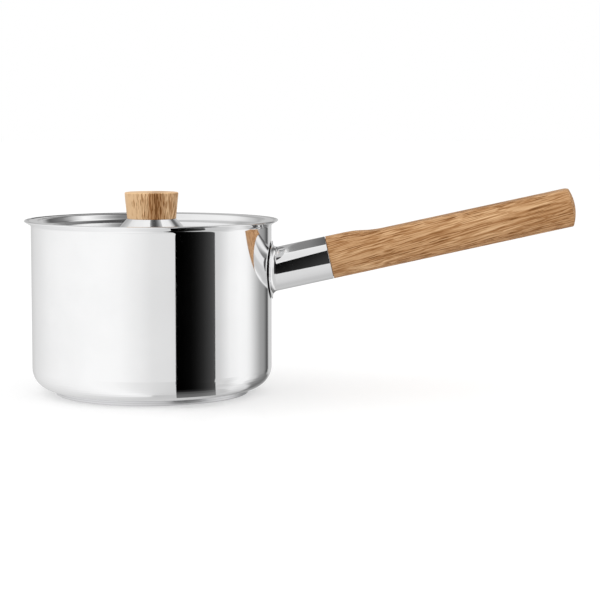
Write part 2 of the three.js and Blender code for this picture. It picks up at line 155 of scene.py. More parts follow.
# %% [markdown]
# ## Profiles with rounded corners
#
# A drawing of a turned part gives corners and radii. The next helper walks such corners and swaps each one
# that has a radius for its arc. Beside every arc it leaves a guard point on the straight run: without it the
# smooth shading of the bend would creep along the whole wall, and a mirror finish shows that at once.

# %% Profiles
ARC_STEPS = 12
GUARD = 0.25
LONG_RUN = 4 * GUARD  # only longer runs get guard points


def unit(vector):
    """Vector over its length."""
    return vector / np.linalg.norm(vector)


def corner_arc(before, corner, after, radius):
    """Arc of a radius in a corner: centre on the bisector, swept from one edge's tangent to the other's."""
    to_before, to_after = unit(before - corner), unit(after - corner)
    half = np.arccos(np.clip(to_before @ to_after, -1, 1)) / 2
    bisector, across = unit(to_before + to_after), unit(to_after - to_before)
    centre = corner + bisector * radius / np.sin(half)
    sweep = np.linspace(half - np.pi / 2, np.pi / 2 - half, ARC_STEPS + 1)[:, None]
    return centre + radius * (np.sin(sweep) * across - np.cos(sweep) * bisector)


def rounded_profile(corners, closed=False):
    """Points of an outline from corners (radius, height[, rounding]), with guard points on long runs."""
    places = np.array([corner[:2] for corner in corners], float)
    roundings = [corner[2] if len(corner) > 2 else 0.0 for corner in corners]
    count = len(corners)
    line = np.concatenate([
        corner_arc(places[k - 1], places[k], places[(k + 1) % count], radius) if radius else places[k][None]
        for k, radius in enumerate(roundings)
    ])
    ends = np.roll(line, -1, axis=0) if closed else line[1:]
    starts = line if closed else line[:-1]
    spans = ends - starts
    lengths = np.linalg.norm(spans, axis=1)[:, None]
    shares = np.where(lengths > LONG_RUN, GUARD / np.maximum(lengths, WELD), 0.0)
    guarded = np.stack([starts, starts + shares * spans, ends - shares * spans], axis=1)
    keep = np.repeat(shares > 0, 3, axis=1)
    keep[:, 0] = True
    points = guarded.reshape(-1, 2)[keep.reshape(-1)]
    return points if closed else np.concatenate([points, line[-1:]])


def sheet_corners(face, thickness, edge_round=0.0):
    """Corners of a bent sheet: the given face, then the face one thickness to its left, walked back.

    Each corner moves along the mean of its two normals by thickness / (1 + cosine of the bend), and a
    rounding grows or shrinks by the thickness on the other face. A negative thickness goes to the right.
    """
    places = np.array([corner[:2] for corner in face], float)
    roundings = np.array([corner[2] if len(corner) > 2 else 0.0 for corner in face])
    headings = np.diff(places, axis=0)
    headings /= np.linalg.norm(headings, axis=1)[:, None]
    before, after = np.vstack([headings[:1], headings]), np.vstack([headings, headings[-1:]])
    shift = thickness / (1 + np.sum(before * after, axis=1))[:, None]
    total = before + after
    back = places + shift * np.stack([-total[:, 1], total[:, 0]], axis=1)
    side = np.sign(before[:, 0] * after[:, 1] - before[:, 1] * after[:, 0])
    back_roundings = np.where(roundings > 0, roundings - side * thickness, 0.0)
    roundings[-1] = back_roundings[-1] = edge_round
    front = np.column_stack([places, roundings])
    return np.vstack([front, np.column_stack([back, back_roundings])[::-1]])


def full_turn(steps):
    """Angles of a full turn in equal steps, as one row."""
    return np.linspace(0, 2 * np.pi, steps, endpoint=False)[None, :]


def turned(profile, steps):
    """Surface of revolution about Z: (r cos a, r sin a, z) for each profile point and angle a."""
    angle = full_turn(steps)
    radius, height = profile[:, :1], profile[:, 1:]
    return np.stack([radius * np.cos(angle), radius * np.sin(angle), height + 0 * angle], axis=-1)


print("profile helpers ready")

# %% [markdown]
# ## The pot
#
# A pot like this is deep-drawn from one steel sheet: floor, tight bend, straight wall, and a flared lip that
# pours from any side. It could be a cylinder with a Solidify modifier, but the bends carry the look of a
# polished pan, so the sheet's section is drawn with its real radii and spun round. The attribute satin marks
# the inside, which is brushed after drawing, while the outside is buffed to a mirror.

# %% Pot shell
POT_RADIUS = 81.0
POT_WALL = 1.0
POT_BEND = 14.5
LIP_TOP = 117.5
LIP_RISE = np.radians(30.0)
LIP_LENGTH = 5.4
LIP_BEND = 2.0
LIP_EDGE = 0.45
BRUSHED_TO = 3.0  # the brushing inside stops this far below the lip's corner
POT_STEPS = 256

pot_underside = node_reach("pot_shell")[0][2]
lip_corner = LIP_TOP - LIP_LENGTH * np.sin(LIP_RISE) - POT_WALL * np.cos(LIP_RISE)
lip_edge = (POT_RADIUS + LIP_LENGTH * np.cos(LIP_RISE), lip_corner + LIP_LENGTH * np.sin(LIP_RISE))
pot_outside = [
    (0.0, pot_underside),
    (POT_RADIUS, pot_underside, POT_BEND),
    (POT_RADIUS, lip_corner, LIP_BEND),
    lip_edge,
]
pot_profile = rounded_profile(sheet_corners(pot_outside, POT_WALL, LIP_EDGE))
past_lip = np.arange(len(pot_profile)) > np.argmax(pot_profile[:, 0])
pot_satin = past_lip & (pot_profile[:, 1] < lip_corner - BRUSHED_TO)
pot = grid_piece("pot_body", turned(pot_profile, POT_STEPS), satin=pot_satin)
stands_for(pot, "pot_shell", "pan")

# %% [markdown]
# ## The base
#
# Under the pot lies a thick aluminium disc, and a shallow steel tray is pressed over it. Only the tray's edge
# shows, as a dull band under the polished wall. The tray's upper edge is eased a little, so that a fine dark
# seam shows where it meets the pot.

# %% Base tray
BASE_RADIUS = 65.5
BASE_SKIN = 0.7
BASE_EDGE = 1.0
SEAM_EASE = 0.2

base_outside = [(0.0, 0.0), (BASE_RADIUS, 0.0, BASE_EDGE), (BASE_RADIUS, pot_underside)]
base_profile = rounded_profile(sheet_corners(base_outside, BASE_SKIN, SEAM_EASE))
base = grid_piece("base_band", turned(base_profile, POT_STEPS))
stands_for(base, "base_tray", "pan")

# %% [markdown]
# ## The lid
#
# The lid is pressed from thinner sheet: a narrow flange that lies on the lip, a steep wall down and a flat
# floor with room for the fingers round the knob. The two tight bends catch thin lines of light, so they are
# true arcs. The section runs from the screw hole outwards and is closed on itself.

# %% Lid plate
LID_SHEET = 0.8
LID_SHOULDER = 76.5
LID_CORNER = 74.0
LID_RECESS = 5.1
LID_SHOULDER_ROUND = 2.0
LID_CORNER_ROUND = 3.5
LID_EDGE = 0.3
SCREW_HOLE = 2.75

lid_high = node_reach("lid_plate")[1]
lid_top, lid_rim = lid_high[2], lid_high[0]
lid_floor = lid_top - LID_RECESS
lid_face = [
    (SCREW_HOLE, lid_floor),
    (LID_CORNER, lid_floor, LID_CORNER_ROUND),
    (LID_SHOULDER, lid_top, LID_SHOULDER_ROUND),
    (lid_rim, lid_top),
]
lid_profile = rounded_profile(sheet_corners(lid_face, -LID_SHEET, LID_EDGE), closed=True)
lid_satin = np.arange(len(lid_profile)) > np.argmax(lid_profile[:, 0]) + ARC_STEPS
lid = grid_piece("lid_plate_pressed", turned(lid_profile, POT_STEPS), wrap_rows=True, satin=lid_satin)
stands_for(lid, "lid_plate", "lid")

# %% [markdown]
# ## Collar and knob
#
# A polished cone lifts the knob off the lid, so that fingers don't touch hot steel. The knob is turned from
# oak, a little wider at the top, with broken edges. Both are plain lathe work. The knob keeps its blind
# pocket for the brass insert, although nothing of it shows.

# %% Collar and knob
COLLAR_LAND = 0.5
COLLAR_EASE = 0.2
KNOB_FOOT_EASE = 0.45
KNOB_TOP_EASE = 0.9
KNOB_FOOT_RADIUS = 16.5
POCKET_RADIUS = 4.65
POCKET_DEPTH = 10.3
KNOB_STEPS = 160

collar_low, collar_high = node_reach("knob_collar")
knob_low, knob_high = node_reach("lid_knob")
collar_corners = [
    (SCREW_HOLE, collar_low[2]),
    (collar_high[0], collar_low[2]),
    (collar_high[0], collar_low[2] + COLLAR_LAND, COLLAR_EASE),
    (KNOB_FOOT_RADIUS, collar_high[2], COLLAR_EASE),
    (SCREW_HOLE, collar_high[2]),
]
collar = grid_piece("knob_cone", turned(rounded_profile(collar_corners, True), KNOB_STEPS), wrap_rows=True)
stands_for(collar, "knob_collar", "lid")

knob_corners = [
    (0.0, knob_low[2] + POCKET_DEPTH),
    (POCKET_RADIUS, knob_low[2] + POCKET_DEPTH),
    (POCKET_RADIUS, knob_low[2]),
    (KNOB_FOOT_RADIUS, knob_low[2], KNOB_FOOT_EASE),
    (knob_high[0], knob_high[2], KNOB_TOP_EASE),
    (0.0, knob_high[2]),
]
knob = grid_piece("knob_oak", turned(rounded_profile(knob_corners), KNOB_STEPS))
stands_for(knob, "lid_knob", "lid")

# %% [markdown]
# ## The screw under the lid
#
# Lifting the lid shows the button-head screw that holds the knob. Its socket is a hexagon in a round head,
# so the rows of the lathe grid change their shape: a row carries a number from 0, a circle, to 1, a hexagon.

# %% Screw
SCREW_SHANK = 2.5
SCREW_HEAD = 4.6
SCREW_HEAD_HEIGHT = 3.0
SCREW_HEAD_ROUND = 1.0
SOCKET_CORNER = 1.7
SOCKET_DEPTH = 1.6
SCREW_STEPS = 96


def hexagon_share(angle):
    """Radius of a hexagon over the radius of its corners: cos 30 / cos(angle from the nearest flat)."""
    from_flat = np.mod(angle, np.pi / 3) - np.pi / 6
    return np.cos(np.pi / 6) / np.cos(from_flat)


def socket_screw(profile, hexagonal, steps):
    """Lathe grid whose row radii blend from round to hexagonal: r (1 - h + h hexagon(a))."""
    points = turned(profile, steps)
    angle = full_turn(steps)
    points[..., :2] *= (1 - hexagonal[:, None] + hexagonal[:, None] * hexagon_share(angle))[..., None]
    return points


screw_low, screw_high = node_reach("knob_screw")
under_head = screw_low[2] + SCREW_HEAD_HEIGHT
socket_rows = np.array([
    (0.0, screw_low[2] + SOCKET_DEPTH),
    (SOCKET_CORNER, screw_low[2] + SOCKET_DEPTH),
    (SOCKET_CORNER, screw_low[2]),
])
head_rows = rounded_profile([
    (SOCKET_CORNER + GUARD, screw_low[2]),
    (SCREW_HEAD, screw_low[2], SCREW_HEAD_ROUND),
    (SCREW_HEAD, under_head),
    (SCREW_SHANK, under_head),
    (SCREW_SHANK, screw_high[2]),
    (0.0, screw_high[2]),
])
screw_rows = np.vstack([socket_rows, head_rows])
hexagonal = np.concatenate([np.ones(len(socket_rows)), np.zeros(len(head_rows))])
screw = grid_piece("knob_screw_button", socket_screw(screw_rows, hexagonal, SCREW_STEPS))
stands_for(screw, "knob_screw", "lid")

# %% [markdown]
# ## The handle's frame
#
# The handle leaves the wall a third of the way down and rises at a slant. Its pieces are easier to describe
# in a frame of their own: s runs along the handle from the wall, y goes across, and h points up from the
# axis.

# %% Handle frame
HANDLE_TILT = np.radians(12.3)
HANDLE_HEIGHT = 83.0


def to_pan(s, y, h):
    """Handle frame to pan frame: turn about Y by the tilt, then move to the wall."""
    x = POT_RADIUS + s * np.cos(HANDLE_TILT) - h * np.sin(HANDLE_TILT)
    z = HANDLE_HEIGHT + s * np.sin(HANDLE_TILT) + h * np.cos(HANDLE_TILT)
    return np.stack(np.broadcast_arrays(x, y, z), axis=-1)


print("handle root", to_pan(0.0, 0.0, 0.0))

# %% [markdown]
# ## The foot
#
# A dished plate is welded to the wall, and its collar sweeps out in a hollow curve to meet the ferrule. The
# joint is ground and polished away, so the collar has to lie on the ferrule's own cylinder. A slanted tube
# cut upright is an ellipse, so the turned profile is a little narrower across than it is tall, and it is laid
# over the round wall: a point at lift h moves out to the cylinder that is h larger than the pot. The plate is
# undercut along its edge, and the undercut is painted near black as shade, which gives the thin dark line.

# %% Foot
FERRULE_RADIUS = 14.6
FOOT_EDGE_RADIUS = 19.64
FOOT_COLLAR_RADIUS = FERRULE_RADIUS / np.cos(HANDLE_TILT)
FOOT_LIFT = 0.06
UNDERCUT_RADIUS = 16.5
UNDERCUT_LIFT = 0.62
FOOT_PLATE = 1.05
FOOT_TOP = 4.3
FOOT_FILLET = 3.2
FOOT_EASE = 0.22
SPIGOT_RADIUS = 13.1
SPIGOT_TOP = 10.7
BOLT_HOLE = 3.25
RECESS_RADIUS = 10.0
RECESS_DEPTH = 4.4
HANDLE_STEPS = 192


def saddled(profile, steps):
    """Profile (r, h) turned round the handle and bent to the wall.

    y = r cos(tilt) cos a, and x = sqrt((R + h)^2 - y^2). z = r sin a + h tan(tilt), from the handle's root.
    """
    angle = full_turn(steps)
    radius, lift = profile[:, :1], profile[:, 1:]
    across = radius * np.cos(HANDLE_TILT) * np.cos(angle)
    out = np.sqrt((POT_RADIUS + lift) ** 2 - across**2)
    up = HANDLE_HEIGHT + radius * np.sin(angle) + lift * np.tan(HANDLE_TILT)
    return np.stack([out, across, up], axis=-1)


foot_corners = [
    (RECESS_RADIUS, FOOT_LIFT),
    (UNDERCUT_RADIUS, FOOT_LIFT),
    (UNDERCUT_RADIUS, UNDERCUT_LIFT),
    (FOOT_EDGE_RADIUS, UNDERCUT_LIFT),
    (FOOT_EDGE_RADIUS, FOOT_PLATE, FOOT_EASE),
    (FOOT_COLLAR_RADIUS, FOOT_PLATE, FOOT_FILLET),
    (FOOT_COLLAR_RADIUS, FOOT_TOP),
    (SPIGOT_RADIUS, FOOT_TOP),
    (SPIGOT_RADIUS, SPIGOT_TOP),
    (BOLT_HOLE, SPIGOT_TOP),
    (BOLT_HOLE, RECESS_DEPTH),
    (RECESS_RADIUS, RECESS_DEPTH),
]
foot_profile = rounded_profile(foot_corners, True)
# the rows of the undercut, which the steel finish paints near black as the shade in the groove
foot_seam = (foot_profile[:, 0] > UNDERCUT_RADIUS - GUARD) & (foot_profile[:, 1] < UNDERCUT_LIFT + WELD)
foot = grid_piece("foot_plate", saddled(foot_profile, HANDLE_STEPS), wrap_rows=True, seam=foot_seam)
stands_for(foot, "handle_foot", "pan")

# %% [markdown]
# ## The ferrule
#
# The ferrule is a short steel tube. Its outer end is square, with a broken edge, and its inner end is cut to
# the curve of the foot, without an edge, because the joint is polished away. Each row of the grid is a ring
# on the tube, measured from the cut or from the mouth.

# %% Ferrule
FERRULE_BORE = 13.4
FERRULE_MOUTH = 40.0
FERRULE_EASE = 0.25
FERRULE_GAP = 0.02
FERRULE_CUT = POT_RADIUS + FOOT_TOP + FERRULE_GAP
EASE_STEPS = 5


def cut_length(radius, angle):
    """Where a ruling of the tube meets the cutting cylinder: solve (R + s cos t - h sin t)^2 + y^2 = C^2."""
    y, h = radius * np.cos(angle), radius * np.sin(angle)
    out = np.sqrt(FERRULE_CUT**2 - y**2) - POT_RADIUS
    return (out + h * np.sin(HANDLE_TILT)) / np.cos(HANDLE_TILT)


def ferrule_surface(rings, steps):
    """Rings (radius, offset, from_mouth): s = mouth - offset, or cut(radius, angle) + offset."""
    angle = full_turn(steps)
    radius, offset, from_mouth = (column[:, None] for column in rings.T)
    s = np.where(from_mouth > 0, FERRULE_MOUTH - offset, cut_length(radius, angle) + offset)
    return to_pan(s, radius * np.cos(angle), radius * np.sin(angle))


ease = np.linspace(0, np.pi / 2, EASE_STEPS + 1)
ease_in, ease_out = FERRULE_EASE * (1 - np.sin(ease)), FERRULE_EASE * (1 - np.cos(ease))
mouth_edge = np.column_stack([FERRULE_RADIUS - ease_out, ease_in, 1 + 0 * ease])
ferrule_rings = np.vstack([
    [(FERRULE_BORE, 0.0, 0.0), (FERRULE_RADIUS, 0.0, 0.0)],
    [(FERRULE_RADIUS, 2 * FERRULE_EASE, 0.0), (FERRULE_RADIUS, 2 * FERRULE_EASE, 1.0)],
    mouth_edge,
    [(FERRULE_BORE, 0.0, 1.0)],
])
ferrule = grid_piece("ferrule_tube", ferrule_surface(ferrule_rings, HANDLE_STEPS), wrap_rows=True)
stands_for(ferrule, "handle_ferrule", "pan")

# %% [markdown]
# ## The grip
#
# The grip is a round oak bar with a thumb flat planed into its top and a shallow dome on its end. The plane
# bites in a little behind the ferrule in a long S-curve and then runs nearly level to the end. A bar cut by a
# plane would have hard edges that nobody leaves on a handle, so the height of the section is limited by a
# soft minimum, which eases them. A hair of a gap is left between wood and ferrule, and reads as a dark line.

# %% Grip
GRIP_START = 40.3
GRIP_END = 209.5
GRIP_DOME = 3.8
GRIP_RIM_ROUND = 0.8
GRIP_SHOULDER_EASE = 0.25
FLAT_START = 49.3
FLAT_RUN = 32.0
FLAT_DEPTH = 3.1
FLAT_END_DEPTH = 3.3
FLAT_LEAD = 0.3  # the plane starts this far above the bar
FLAT_SOFTNESS = 0.35
TENON_START = 21.0
TENON_RADIUS = 13.1
TENON_CHAMFER = 1.0
INSERT_RADIUS = 5.15
INSERT_END = 36.3
BORE_END = 51.0
GRIP_STEPS = 256
ROW_GAP = 4.0  # between the rows beside the end of the run-in
DOME_CORE = 9.0  # inside this radius the rows of the dome lie a millimetre apart
NO_FLAT = 40.0  # a planed height that no section reaches


def flat_height(s):
    """Height of the planed top above the axis: an S-curve down to the flat, then a slow straight fall.

    The curve is a cubic with level handles half its length: s = start + run (1.5 t (1 - t) + t^3), while the
    height falls by the share 3 t^2 - 2 t^3.
    """
    t = np.linspace(0, 1, 200)
    run = FLAT_START + FLAT_RUN * (1.5 * t * (1 - t) + t**3)
    above = FERRULE_RADIUS + FLAT_LEAD
    level = FERRULE_RADIUS - FLAT_DEPTH
    curve = above + (level - above) * (3 * t**2 - 2 * t**3)
    fall = (FLAT_END_DEPTH - FLAT_DEPTH) / (GRIP_END - run[-1])
    planed = np.where(s > run[-1], level - fall * (s - run[-1]), np.interp(s, run, curve))
    return np.where(s < FLAT_START, above, planed)


def dome_place(radius):
    """Place along the handle of the domed end: end - S + sqrt(S^2 - r^2), with S the radius of its sphere."""
    sphere = (FERRULE_RADIUS**2 + GRIP_DOME**2) / (2 * GRIP_DOME)
    return GRIP_END - sphere + np.sqrt(sphere**2 - radius**2)


def soft_minimum(value, limit, softness):
    """value - k ln(1 + exp((value - limit) / k)): value below the limit, the limit above it."""
    return value - softness * np.logaddexp(0.0, (value - limit) / softness)


def grip_surface(stations, steps):
    """Stations (s, radius, flat): y = r cos a and h = soft minimum of r sin a and the flat."""
    angle = full_turn(steps)
    s, radius, flat = (column[:, None] for column in stations.T)
    h = soft_minimum(radius * np.sin(angle), flat, FLAT_SOFTNESS)
    return to_pan(s, radius * np.cos(angle), h)


tenon_part = np.array([
    (BORE_END, 0.0),
    (BORE_END, BOLT_HOLE),
    (INSERT_END, BOLT_HOLE),
    (INSERT_END, INSERT_RADIUS),
    (TENON_START, INSERT_RADIUS),
    (TENON_START, TENON_RADIUS - TENON_CHAMFER),
    (TENON_START + TENON_CHAMFER, TENON_RADIUS),
    (GRIP_START, TENON_RADIUS),
    (GRIP_START, FERRULE_RADIUS - GRIP_SHOULDER_EASE),
    (GRIP_START + GRIP_SHOULDER_EASE, FERRULE_RADIUS),
])
rim_place = dome_place(FERRULE_RADIUS)
past_run = FLAT_START + FLAT_RUN + ROW_GAP
along = np.concatenate([
    np.linspace(GRIP_START + 2 * GRIP_SHOULDER_EASE, past_run, 64),
    np.linspace(past_run + ROW_GAP, rim_place - 2 * GRIP_RIM_ROUND, 24),
])
bar_part = np.column_stack([along, np.full(len(along), FERRULE_RADIUS)])
below_rim = FERRULE_RADIUS - GRIP_RIM_ROUND
rim_part = corner_arc(
    np.array([rim_place - GRIP_DOME, FERRULE_RADIUS]),
    np.array([rim_place, FERRULE_RADIUS]),
    np.array([dome_place(below_rim), below_rim]),
    GRIP_RIM_ROUND,
)
dome_radii = np.concatenate([np.linspace(below_rim, DOME_CORE, 32), np.arange(DOME_CORE - 1, -1, -1)])
dome_part = np.column_stack([dome_place(dome_radii), dome_radii])
outer_part = np.vstack([bar_part, rim_part, dome_part])
flats = np.concatenate([np.full(len(tenon_part), NO_FLAT), flat_height(outer_part[:, 0])])
grip_stations = np.column_stack([np.vstack([tenon_part, outer_part]), flats])
grip = grid_piece("grip_oak", grip_surface(grip_stations, GRIP_STEPS))
stands_for(grip, "handle_grip", "pan")

# %% [markdown]
# ## Building finishes from nodes
#
# All finishes are procedural: they are worked out from each piece's Object coordinates, so they sit in the
# material like real grain and turn with the piece. A few helpers keep the node code short. They place a node,
# fill or link its inputs, and hand back the socket that carries the result.

# %% Node helpers
FLOAT, COLOUR, VECTOR = "NodeSocketFloat", "NodeSocketColor", "NodeSocketVector"
NOISE_RANGE = (0.3, 0.7)  # most of a noise lies between these
WHITE = (1.0, 1.0, 1.0, 1.0)


def place_node(tree, kind, inputs, **settings):
    """Adds a node, sets its properties, and links or fills the inputs given by name or number."""
    node = tree.nodes.new(kind)
    for name, value in settings.items():
        setattr(node, name, value)
    for name, value in inputs.items():
        if isinstance(value, bpy.types.NodeSocket):
            tree.links.new(value, node.inputs[name])
        else:
            node.inputs[name].default_value = value
    return node


def reckon(tree, operation, *values):
    """Math node on numbers or sockets."""
    return place_node(tree, "ShaderNodeMath", dict(enumerate(values)), operation=operation).outputs[0]


def stretch(tree, vector, scale):
    """Vector times one number for each axis: a small number draws a pattern out along that axis."""
    return place_node(tree, "ShaderNodeVectorMath", {0: vector, 1: scale}, operation="MULTIPLY").outputs[0]


def axis_distance(tree, vector):
    """Distance from the Z axis: the length of (x, y, 0)."""
    level = stretch(tree, vector, (1.0, 1.0, 0.0))
    return place_node(tree, "ShaderNodeVectorMath", {0: level}, operation="LENGTH").outputs["Value"]


def noise(tree, vector, scale=1.0, detail=2.0, roughness=0.5):
    """Noise texture as a number, mostly near 0.5."""
    inputs = {"Vector": vector, "Scale": scale, "Detail": detail, "Roughness": roughness}
    return place_node(tree, "ShaderNodeTexNoise", inputs).outputs[0]


def spread(tree, value, low, high, to_low=0.0, to_high=1.0):
    """Maps the range low to high onto another one, with soft ends."""
    inputs = dict(enumerate((value, low, high, to_low, to_high)))
    return place_node(tree, "ShaderNodeMapRange", inputs, interpolation_type="SMOOTHSTEP").outputs[0]


def tint(tree, share, stops):
    """Colour ramp from stops (place, linear RGB)."""
    node = place_node(tree, "ShaderNodeValToRGB", {0: share})
    elements = node.color_ramp.elements
    for _ in stops[2:]:
        elements.new(0.5)
    for element, (place, colour) in zip(elements, stops):
        element.position = place
        element.color = (*colour, 1.0)
    return node.outputs[0]


def grey_ramp(tree, share, stops, low=0.0, high=1.0):
    """Ramp of greys from stops (place, grey), with places from low to high."""
    return tint(tree, share, [((place - low) / (high - low), (grey,) * 3) for place, grey in stops])


def mixed(tree, share, first, second):
    """Colour between two others: first at share 0, second at share 1."""
    inputs = {0: share, 6: first, 7: second}
    return place_node(tree, "ShaderNodeMix", inputs, data_type="RGBA").outputs[2]


def new_group(name, inputs, outputs):
    """Empty shader node group with sockets given as {name: kind}: the tree, its inputs and its outputs."""
    tree = bpy.data.node_groups.new(name, "ShaderNodeTree")
    for socket, kind in inputs.items():
        tree.interface.new_socket(socket, in_out="INPUT", socket_type=kind)
    for socket, kind in outputs.items():
        tree.interface.new_socket(socket, in_out="OUTPUT", socket_type=kind)
    return tree, tree.nodes.new("NodeGroupInput").outputs, tree.nodes.new("NodeGroupOutput").inputs


def grouped(tree, group, inputs):
    """Places a node group, with its inputs, and hands back its outputs."""
    return place_node(tree, "ShaderNodeGroup", inputs, node_tree=group).outputs


def mark_value(tree, name):
    """Attribute of the points, as a number."""
    return place_node(tree, "ShaderNodeAttribute", {}, attribute_name=name).outputs["Fac"]


def new_finish(name):
    """New material: the material, its tree, its Principled shader's inputs, and Object coordinates."""
    material = bpy.data.materials.new(name)
    material.use_nodes = True
    tree = material.node_tree
    where = place_node(tree, "ShaderNodeTexCoord", {}).outputs["Object"]
    return material, tree, tree.nodes["Principled BSDF"].inputs, where


def add_bump(tree, shader, height, depth):
    """Bump of a height in metres on the shader's normal."""
    bump = place_node(tree, "ShaderNodeBump", {"Height": height, "Distance": depth, "Strength": 1.0})
    tree.links.new(bump.outputs[0], shader["Normal"])


def dress(material, *pieces):
    """Gives pieces a material in place of any they had."""
    for piece in pieces:
        piece.data.materials.clear()
        piece.data.materials.append(material)
    print(material.name, "on", [piece.name for piece in pieces])


# %% [markdown]
# ## Brushed rings
#
# Spinning a pot against an abrasive leaves fine rings: circles on a floor, level lines on a wall. Both are
# lines of equal r + z, where r is the distance from the axis, so one group serves every turned surface. It
# gives a height for the bump and a tone that makes some rings a little brighter. A slow noise breaks the
# rings, because no brush stroke runs all the way round.

# %% Brushed rings group
WANDER = 0.0004  # metres
WANDER_SCALE = 45.0

rings, given, results = new_group(
    "brushed_rings", {"Vector": VECTOR, "Fineness": FLOAT}, {"Height": FLOAT, "Tone": FLOAT}
)
from_axis = axis_distance(rings, given["Vector"])
height = place_node(rings, "ShaderNodeSeparateXYZ", {0: given["Vector"]}).outputs["Z"]
wander = reckon(rings, "MULTIPLY", noise(rings, given["Vector"], WANDER_SCALE), WANDER)
ring_place = reckon(rings, "ADD", reckon(rings, "ADD", from_axis, height), wander)
ring_noise = {
    "W": reckon(rings, "MULTIPLY", ring_place, given["Fineness"]),
    "Scale": 1.0,
    "Detail": 3.0,
    "Roughness": 0.7,
}
lines = place_node(rings, "ShaderNodeTexNoise", ring_noise, noise_dimensions="1D").outputs[0]
rings.links.new(lines, results["Height"])
rings.links.new(spread(rings, lines, *NOISE_RANGE), results["Tone"])
print("group", rings.name)

# %% [markdown]
# ## Buffing haze
#
# Even a mirror finish isn't even: the buffing wheel leaves broad, faint clouds that are a touch duller. The
# group gives one number for the clouds, and each metal uses as much of them as it shows.

# %% Buffing haze group
CLOUD_SCALE = 22.0

haze, given, results = new_group("buffing_haze", {"Vector": VECTOR}, {"Cloud": FLOAT})
cloud = noise(haze, given["Vector"], CLOUD_SCALE, 3.0, 0.6)
haze.links.new(spread(haze, cloud, *NOISE_RANGE), results["Cloud"])
print("group", haze.name)

# %% [markdown]
# ## Polished steel
#
# Outside, the pot, lid, collar, foot and ferrule are buffed like a mirror, so their look is mostly what they
# reflect: a bright, neutral metal with very low roughness. Where the attribute satin is 1, on the inside of
# the pot and under the lid, the same sheet is brushed: rougher, a little darker, with rings in the bump. The
# undercut of the foot carries its own attribute and is painted near black: painted shade in that groove.

# %% Polished steel
MIRROR_TONES = [(0.0, (0.945, 0.945, 0.948)), (1.0, (0.915, 0.916, 0.92))]
BRUSHED_TONES = [(0.0, (0.6, 0.6, 0.605)), (1.0, (0.74, 0.74, 0.745))]
# painted shade: the foot's undercut groove is near black
GROOVE_SHADE_TONE = (0.03, 0.03, 0.032, 1.0)
MIRROR_ROUGH = (0.035, 0.06)
BRUSHED_ROUGH = (0.36, 0.27)
BRUSH_FINENESS = 2600.0  # rings per metre
BRUSH_DEPTH = 0.00003  # metres

polished_steel, tree, shader, where = new_finish("polished_steel")
satin = mark_value(tree, "satin")
seam = mark_value(tree, "seam")
buffed = grouped(tree, haze, {"Vector": where})
brushed = grouped(tree, rings, {"Vector": where, "Fineness": BRUSH_FINENESS})
mirror_tone = tint(tree, buffed["Cloud"], MIRROR_TONES)
brushed_tone = tint(tree, brushed["Tone"], BRUSHED_TONES)
sheet_tone = mixed(tree, satin, mirror_tone, brushed_tone)
# painted shade: the marked undercut of the foot takes the near-black tone
tree.links.new(mixed(tree, seam, sheet_tone, GROOVE_SHADE_TONE), shader["Base Color"])
mirror_rough = spread(tree, buffed["Cloud"], 0.0, 1.0, *MIRROR_ROUGH)
brushed_rough = spread(tree, brushed["Tone"], 0.0, 1.0, *BRUSHED_ROUGH)
rough_gap = reckon(tree, "SUBTRACT", brushed_rough, mirror_rough)
tree.links.new(reckon(tree, "MULTIPLY_ADD", rough_gap, satin, mirror_rough), shader["Roughness"])
add_bump(tree, shader, reckon(tree, "MULTIPLY", brushed["Height"], satin), BRUSH_DEPTH)
shader["Metallic"].default_value = 1.0
dress(polished_steel, pot, lid, collar, foot, ferrule)

# %% [markdown]
# ## Satin steel and the fasteners
#
# The base is ground on a belt and left dull, so its band reads lighter and softer than the wall above it. The
# fasteners are plain turned stainless steel. Both are the ring pattern again, at other widths and tones.

# %% Satin steel and fastener steel
CLOUD_TINT = 0.25
CLOUD_DULLNESS = 0.3


def ringed_metal(name, fineness, dark, light, roughness, depth):
    """Metal with turning rings: tone and roughness follow the rings, and clouds dull it in places."""
    material, tree, shader, where = new_finish(name)
    turned_marks = grouped(tree, rings, {"Vector": where, "Fineness": fineness})
    clouds = grouped(tree, haze, {"Vector": where})
    tone = tint(tree, turned_marks["Tone"], [(0.0, dark), (1.0, light)])
    clouded = reckon(tree, "MULTIPLY", clouds["Cloud"], CLOUD_TINT)
    tree.links.new(mixed(tree, clouded, tone, (*dark, 1.0)), shader["Base Color"])
    uneven = reckon(tree, "MULTIPLY_ADD", clouds["Cloud"], CLOUD_DULLNESS, turned_marks["Tone"])
    smoothest, roughest = roughness
    rough = spread(tree, uneven, 0.0, 1.0 + CLOUD_DULLNESS, roughest, smoothest)
    tree.links.new(rough, shader["Roughness"])
    add_bump(tree, shader, turned_marks["Height"], depth)
    shader["Metallic"].default_value = 1.0
    return material


satin_steel = ringed_metal(
    "satin_steel",
    fineness=1800.0,
    dark=(0.62, 0.62, 0.63),
    light=(0.78, 0.78, 0.79),
    roughness=(0.3, 0.42),
    depth=0.00004,
)
dress(satin_steel, base)
fastener_steel = ringed_metal(
    "fastener_steel",
    fineness=3000.0,
    dark=(0.5, 0.5, 0.51),
    light=(0.68, 0.68, 0.69),
    roughness=(0.25, 0.4),
    depth=0.00002,
)
fasteners = ("handle_bolt", "bolt_nut", "bolt_lock_washer", "screw_washer", "screw_lock_washer")
dress(fastener_steel, screw, *[nodes[name] for name in fasteners])

# %% [markdown]
# ## What stays inside
#
# The aluminium disc, the brass inserts and the gasket don't show, but each gets its own finish, so that the
# model can be taken apart. Aluminium and brass reuse the rings. The silicone is matt and faintly speckled.

# %% Aluminium, brass and silicone
SILICONE_TONES = [(0.3, (0.035, 0.035, 0.037)), (0.7, (0.055, 0.055, 0.058))]
SILICONE_ROUGH = (0.65, 0.85)
SPECKLE_SCALE = 2500.0
SPECKLE_DEPTH = 0.00005  # metres

